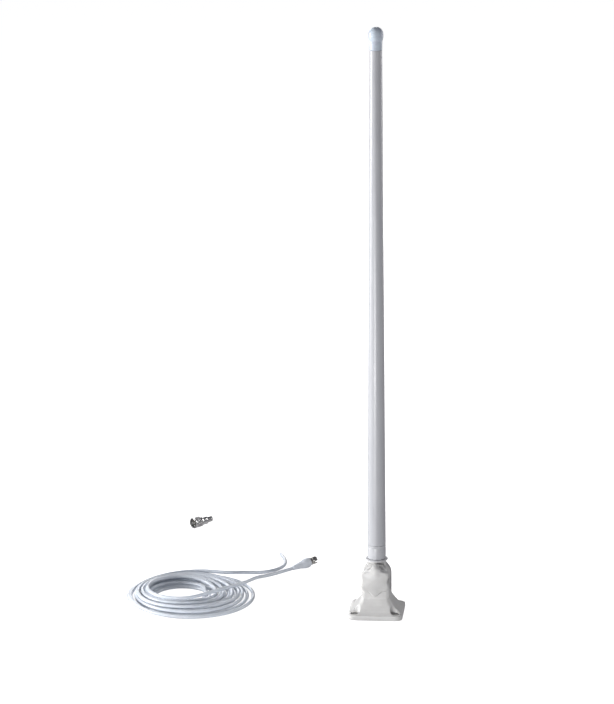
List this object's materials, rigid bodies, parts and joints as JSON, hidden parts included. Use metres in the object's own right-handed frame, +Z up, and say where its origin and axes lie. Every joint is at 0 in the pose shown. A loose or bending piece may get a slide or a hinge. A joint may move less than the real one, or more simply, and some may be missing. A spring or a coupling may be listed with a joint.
{
  "type": "omnidirectional antenna",
  "caption": "White fibreglass whip antenna on a fold-down nylon ratchet mount with a lobed clamp knob, a coiled white coaxial lead and a loose UHF plug.",
  "frame": {"origin": "centre of the mount's underside, on the deck", "axes": "+Z up along the whip, -Y towards the clamp knob, +X to the right seen from the knob; the whip folds about Y"},
  "size_m": [0.4732, 0.5459, 1],
  "materials": {
    "nylon": "satin",
    "seal_vinyl": "satin",
    "ferrule_paint": "gloss",
    "gelcoat": "gloss",
    "cap_vinyl": "satin",
    "stainless": "satin",
    "brass": "satin",
    "copper_wire": "satin",
    "nickel": "satin",
    "bright_plate": "polished",
    "ptfe": "satin",
    "acetal": "satin",
    "bakelite": "satin",
    "epoxy_rod": "satin",
    "foam": "matte",
    "jacket": "satin",
    "boot_vinyl": "satin"
  },
  "bodies": {
    "mount": {"mount_base": "nylon", "clamp_bolt": "stainless", "lead_coil": "jacket", "lead_tail_connector": "jacket", "lead_tail_free": "jacket", "lead_boot": "boot_vinyl", "lead_connector_body": "nickel", "lead_connector_insulator": "ptfe", "lead_connector_socket": "brass", "plug_body": "bright_plate", "plug_insulator": "bakelite", "plug_pin": "nickel", "plug_reducer": "bright_plate"},
    "pivot": {"pivot_sleeve": "stainless"},
    "whip": {"swivel_head": "nylon", "collar_seal": "seal_vinyl", "ferrule": "ferrule_paint", "radome_tube": "gelcoat", "top_cap": "cap_vinyl", "jack_carrier": "acetal", "jack_body": "nickel", "jack_insulator": "ptfe", "jack_pin": "brass", "lower_sleeve": "brass", "feed_cable": "jacket", "coil_former": "epoxy_rod", "phasing_coil": "copper_wire", "upper_radiator": "brass", "centring_disc_1": "foam", "centring_disc_2": "foam", "centring_disc_3": "foam", "centring_disc_4": "foam"},
    "knob_carrier": {"knob_washer": "stainless"},
    "knob": {"clamp_knob": "nylon", "knob_insert": "brass"},
    "lead_nut": {"lead_connector_nut": "nickel"},
    "plug_nut": {"plug_coupling_nut": "bright_plate"}
  },
  "joints": [
    {"name": "ratchet_release", "type": "slide", "parent": "mount", "child": "pivot", "axis": [0, 1, 0], "range_m": [-0.00085, 0]},
    {"name": "fold", "type": "hinge", "parent": "pivot", "child": "whip", "pos_m": [0, 0, 0.0665], "axis": [0, 1, 0], "range_deg": [-90, 90]},
    {"name": "knob_travel", "type": "slide", "parent": "mount", "child": "knob_carrier", "axis": [0, -1, 0], "range_m": [0, 0.0025]},
    {"name": "knob_turn", "type": "hinge", "parent": "knob_carrier", "child": "knob", "pos_m": [0, -0.034, 0.0665], "axis": [0, -1, 0], "range_deg": [0, 720]},
    {"name": "lead_nut_spin", "type": "hinge", "parent": "mount", "child": "lead_nut", "pos_m": [-0.164, 0.2165, 0.0045], "axis": [0.7783, 0.6081, 0.1564], "continuous": true},
    {"name": "plug_nut_spin", "type": "hinge", "parent": "mount", "child": "plug_nut", "pos_m": [-0.3527, 0.4647, 0.0101], "axis": [-0.682, -0.7314, 0], "continuous": true}
  ],
  "couplings": [
    {"joint": "knob_travel", "follows": "knob_turn", "m_per_rad": 0.00019894}
  ]
}
